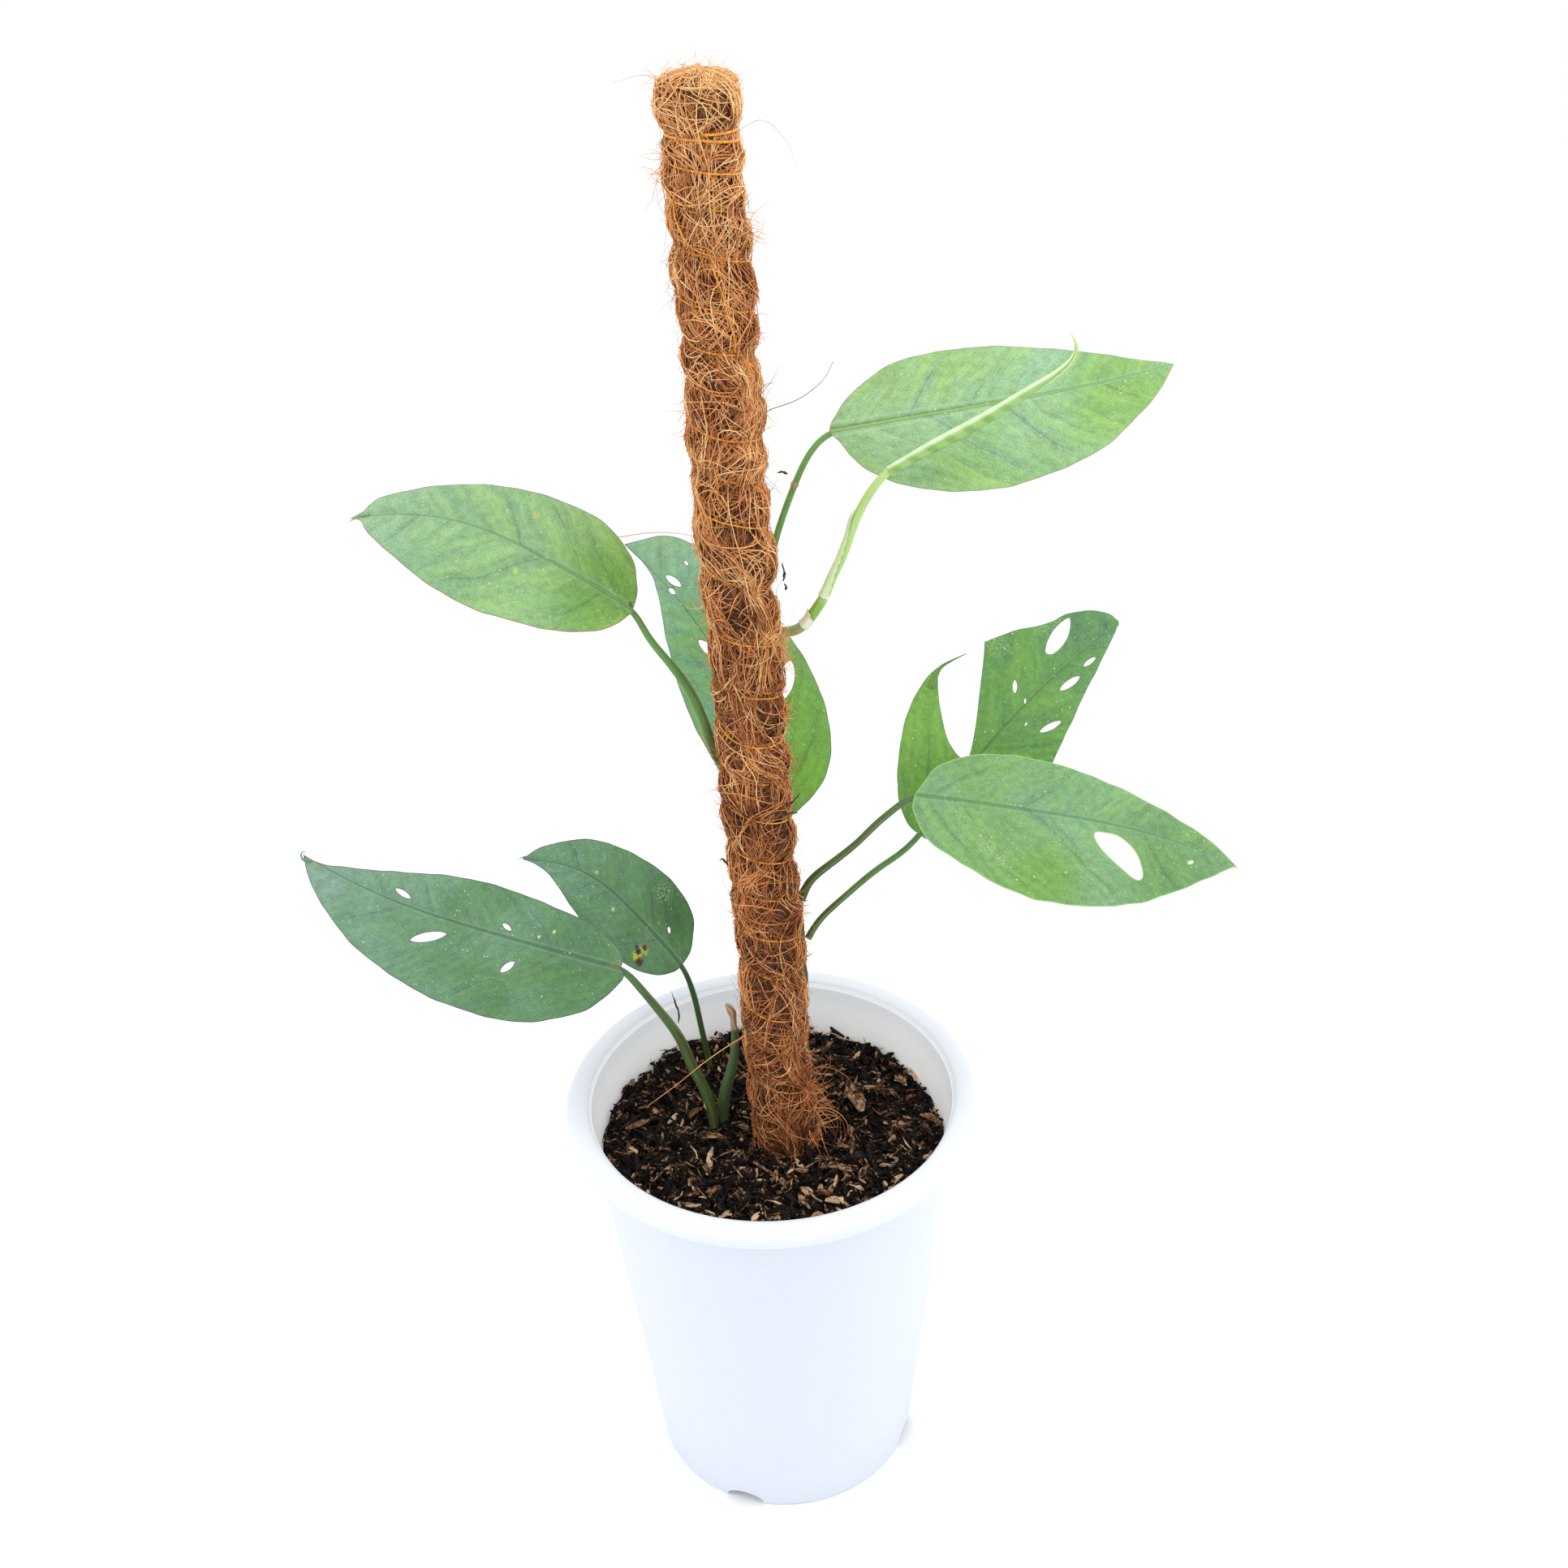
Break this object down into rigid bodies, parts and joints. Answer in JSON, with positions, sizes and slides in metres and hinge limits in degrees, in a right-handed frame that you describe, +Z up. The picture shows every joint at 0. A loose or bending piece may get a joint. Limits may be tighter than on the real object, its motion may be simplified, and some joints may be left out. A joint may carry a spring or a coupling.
{
  "type": "potted climbing pothos on a coir pole",
  "caption": "Climbing pothos with long grey-green leaves, some slit or split, tied along a leaning coir-wrapped pole in a tapered white nursery pot.",
  "frame": {"origin": "under the middle of the bounding box, on the plane that the pot stands on", "axes": "+Z up along the pot's axis, -Y towards the side the leaves face, +X to the right seen from that side"},
  "size_m": [0.4231, 0.2253, 0.69],
  "materials": {
    "pot_plastic": "satin white",
    "potting_bark": "damp dark bark mix",
    "stake_wood": "rough softwood",
    "coir": "matted golden brown fibre",
    "thread": "thin orange cord",
    "stem": "smooth green stem",
    "dry_stem": "dried tan stem",
    "leaf_blue_green": "satin blue-green leaf",
    "leaf": "satin grey-green leaf",
    "new_growth": "smooth yellow-green",
    "sheath": "dry papery"
  },
  "bodies": {
    "root": {"pot": "pot_plastic", "soil": "potting_bark", "pole_core": "stake_wood", "coir_sleeve": "coir", "binding_thread": "thread", "vine_stem": "stem", "old_stem": "stem", "old_stem_dry_end": "dry_stem", "leaf_low_left_blade": "leaf_blue_green", "leaf_low_left_petiole": "stem", "leaf_low_back_blade": "leaf_blue_green", "leaf_low_back_petiole": "stem", "leaf_upper_left_blade": "leaf", "leaf_upper_left_petiole": "stem", "leaf_behind_pole_blade": "leaf", "leaf_behind_pole_petiole": "stem", "leaf_upper_right_blade": "leaf", "leaf_upper_right_petiole": "stem", "leaf_split_blade": "leaf", "leaf_split_petiole": "stem", "leaf_front_right_blade": "leaf", "leaf_front_right_petiole": "stem", "new_leaf_stalk": "new_growth", "new_leaf_roll": "new_growth", "new_leaf_sheath": "sheath"}
  },
  "joints": []
}
